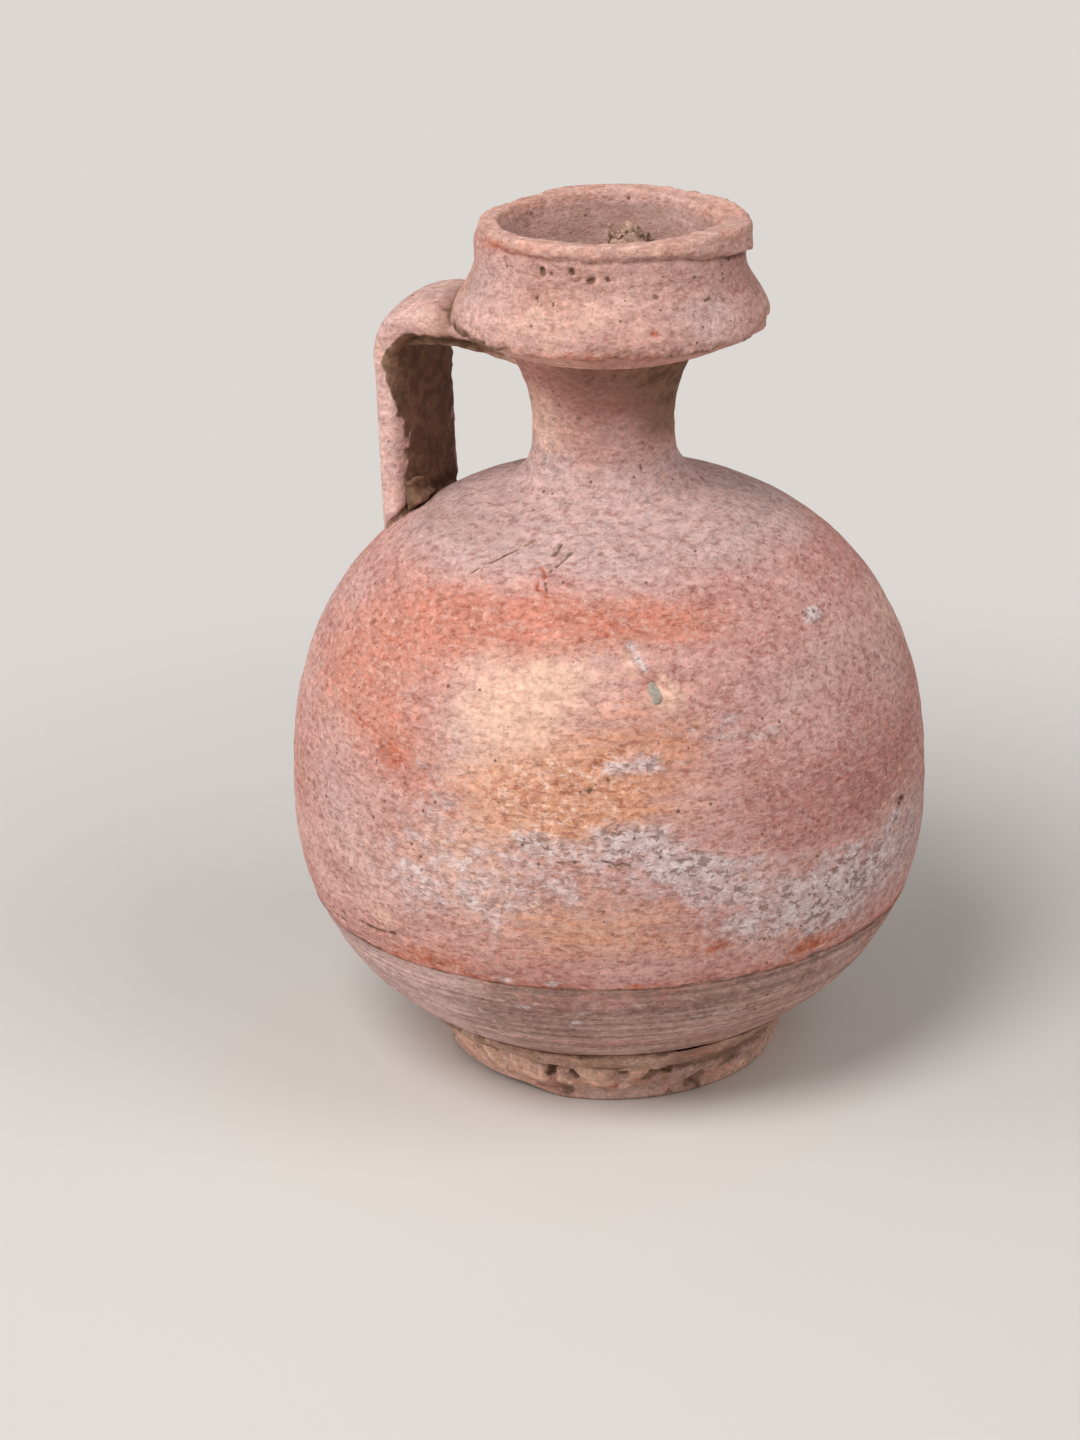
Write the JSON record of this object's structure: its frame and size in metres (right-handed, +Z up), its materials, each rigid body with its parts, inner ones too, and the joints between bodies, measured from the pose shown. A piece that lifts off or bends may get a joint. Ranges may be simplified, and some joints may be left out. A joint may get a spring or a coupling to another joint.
{
  "type": "terracotta jug",
  "caption": "Unglazed round-bodied jug on a ring foot, with a narrow waisted neck, a deep collared mouth and a strap handle from collar to shoulder.",
  "frame": {"origin": "middle of the ring foot, on the table", "axes": "+Z up the jug's axis, -X towards the handle"},
  "size_m": [0.14, 0.14, 0.1889],
  "materials": {
    "red_clay": "unglazed fired clay, matt, orange-red to pink with pale salt bloom",
    "pink_clay": "unglazed fired clay, matt, dusty pink",
    "trimmed_clay": "unglazed fired clay, matt, turned to fine rings, taupe pink",
    "luting_clay": "unglazed fired clay, matt, gritty, finger-pressed"
  },
  "bodies": {
    "root": {"foot_ring": "trimmed_clay", "foot_lute": "luting_clay", "base_bowl": "trimmed_clay", "upper_body": "red_clay", "neck": "pink_clay", "neck_lute": "pink_clay", "collar": "pink_clay", "handle_strap": "pink_clay", "handle_top_lute": "luting_clay", "handle_root_lute": "luting_clay"}
  },
  "joints": []
}
